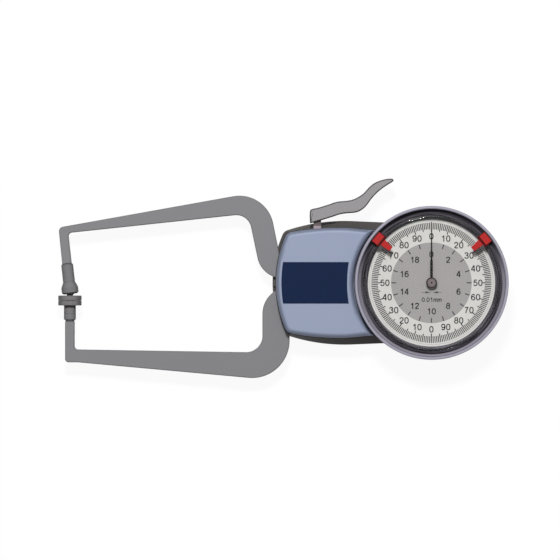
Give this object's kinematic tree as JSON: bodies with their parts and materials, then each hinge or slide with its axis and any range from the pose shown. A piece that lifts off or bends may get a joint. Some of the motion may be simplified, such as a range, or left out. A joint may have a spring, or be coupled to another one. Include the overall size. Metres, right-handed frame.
{
  "type": "external caliper gauge",
  "caption": "Dial caliper gauge for outside sizes: two long arms with disc contacts, the upper one swung by a thumb lever, read on a round dial with two hands and two markers.",
  "frame": {"origin": "on the dial's axis, in the flat back that the gauge lies on", "axes": "+X from the contacts to the dial along the gauge, +Y to the dial's 12 o'clock on the thumb lever's side, +Z out of the dial to its reader"},
  "size_m": [0.1915, 0.085, 0.0289],
  "materials": {
    "shell_back": "satin black lacquer on a die casting",
    "shell_front": "blue-grey metallic lacquer on a die casting",
    "rubber": "black rubber",
    "label": "dark blue enamelled plate",
    "arm_metal": "matte blasted",
    "contact_metal": "lapped hard metal",
    "sleeve_metal": "turned steel",
    "lever_metal": "satin plated",
    "steel": "turned steel",
    "screw_steel": "blackened steel",
    "bronze": "bronze",
    "brass": "brass",
    "jewel": "synthetic ruby",
    "hand_black": "black lacquer",
    "dial_white": "white enamel with printed scales",
    "bezel_metal": "satin anodised",
    "ring_dark": "black anodised, turned",
    "crystal": "clear",
    "marker_red": "red plastic"
  },
  "bodies": {
    "housing": {"back_shell": "shell_back", "front_shell": "shell_front", "shell_seal": "rubber", "label_plate": "label", "fixed_arm": "arm_metal", "lower_contact": "contact_metal", "lower_sleeve": "sleeve_metal", "slot_grommet": "rubber", "pivot_pin": "steel", "pivot_circlip": "steel", "return_spring": "steel", "housing_spring_pin": "steel", "stop_pins": "steel", "movement_plate": "brass", "movement_bridge": "brass", "bridge_pillars": "brass", "bearing_jewels": "jewel", "housing_screws": "screw_steel", "fixed_arm_screws": "screw_steel", "plate_screws": "screw_steel", "bridge_screws": "screw_steel", "idler_stud": "steel", "hairspring": "bronze", "hairspring_stud": "steel", "bezel_snap_ring": "steel", "bezel_o_ring": "rubber"},
    "arm": {"moving_arm": "arm_metal", "arm_hub": "steel", "pivot_bushes": "bronze", "gear_sector": "brass", "sector_spring_pin": "steel", "lever_stem": "steel", "thumb_lever": "lever_metal", "hub_screws": "screw_steel", "stem_screws": "screw_steel", "upper_sleeve": "sleeve_metal", "ball_socket": "sleeve_metal"},
    "first_gear": {"first_arbor": "steel", "first_wheel": "brass"},
    "centre_gear": {"centre_arbor": "steel", "long_hand": "hand_black"},
    "idler_gear": {"idler_wheel": "brass"},
    "hour_gear": {"hour_wheel": "brass", "hairspring_collet": "brass", "short_hand": "hand_black"},
    "bezel": {"bezel_ring": "bezel_metal", "crystal_ring": "ring_dark", "crystal_gasket": "rubber", "crystal": "crystal", "dial_plate": "dial_white"},
    "left_marker": {"marker_left": "marker_red"},
    "right_marker": {"marker_right": "marker_red"},
    "upper_contact": {"swivel_disc": "contact_metal"}
  },
  "joints": [
    {"name": "arm_swing", "type": "hinge", "parent": "housing", "child": "arm", "pos_m": [-0.05, 0.002, 0.0116], "axis": [0, 0, -1], "range_deg": [0, 11.03], "stiffness_Nm_per_rad": 0.2, "springref_deg": -22.92, "deforming": ["return_spring"]},
    {"name": "first_gear_turn", "type": "hinge", "parent": "housing", "child": "first_gear", "pos_m": [-0.00669, 0.00822, 0.0084], "axis": [0, 0, -1], "range_deg": [-375.1, 0]},
    {"name": "centre_gear_turn", "type": "hinge", "parent": "housing", "child": "centre_gear", "pos_m": [0, 0, 0.012], "axis": [0, 0, -1], "range_deg": [0, 3600.2]},
    {"name": "idler_gear_turn", "type": "hinge", "parent": "housing", "child": "idler_gear", "pos_m": [0.003, -0.0052, 0.0138], "axis": [0, 0, -1], "range_deg": [-720.2, 0]},
    {"name": "hour_gear_turn", "type": "hinge", "parent": "housing", "child": "hour_gear", "pos_m": [0, 0, 0.0158], "axis": [0, 0, -1], "range_deg": [0, 360.2], "deforming": ["hairspring"]},
    {"name": "bezel_turn", "type": "hinge", "parent": "housing", "child": "bezel", "pos_m": [0, 0, 0.023], "axis": [0, 0, 1], "continuous": true},
    {"name": "left_marker_slide", "type": "hinge", "parent": "bezel", "child": "left_marker", "pos_m": [0, 0, 0.0275], "axis": [0, 0, 1], "range_deg": [-43, 124]},
    {"name": "right_marker_slide", "type": "hinge", "parent": "bezel", "child": "right_marker", "pos_m": [0, 0, 0.0275], "axis": [0, 0, 1], "range_deg": [-124, 43]},
    {"name": "contact_swivel", "type": "hinge", "parent": "arm", "child": "upper_contact", "pos_m": [-0.1539, -0.00284, 0.0116], "axis": [0, 0, 1], "range_deg": [0, 11.1]}
  ],
  "couplings": [
    {"joint": "first_gear_turn", "follows": "arm_swing", "ratio": -34},
    {"joint": "centre_gear_turn", "follows": "arm_swing", "ratio": 326.4},
    {"joint": "idler_gear_turn", "follows": "arm_swing", "ratio": -65.28},
    {"joint": "hour_gear_turn", "follows": "arm_swing", "ratio": 32.64},
    {"joint": "contact_swivel", "follows": "arm_swing", "ratio": 1}
  ]
}
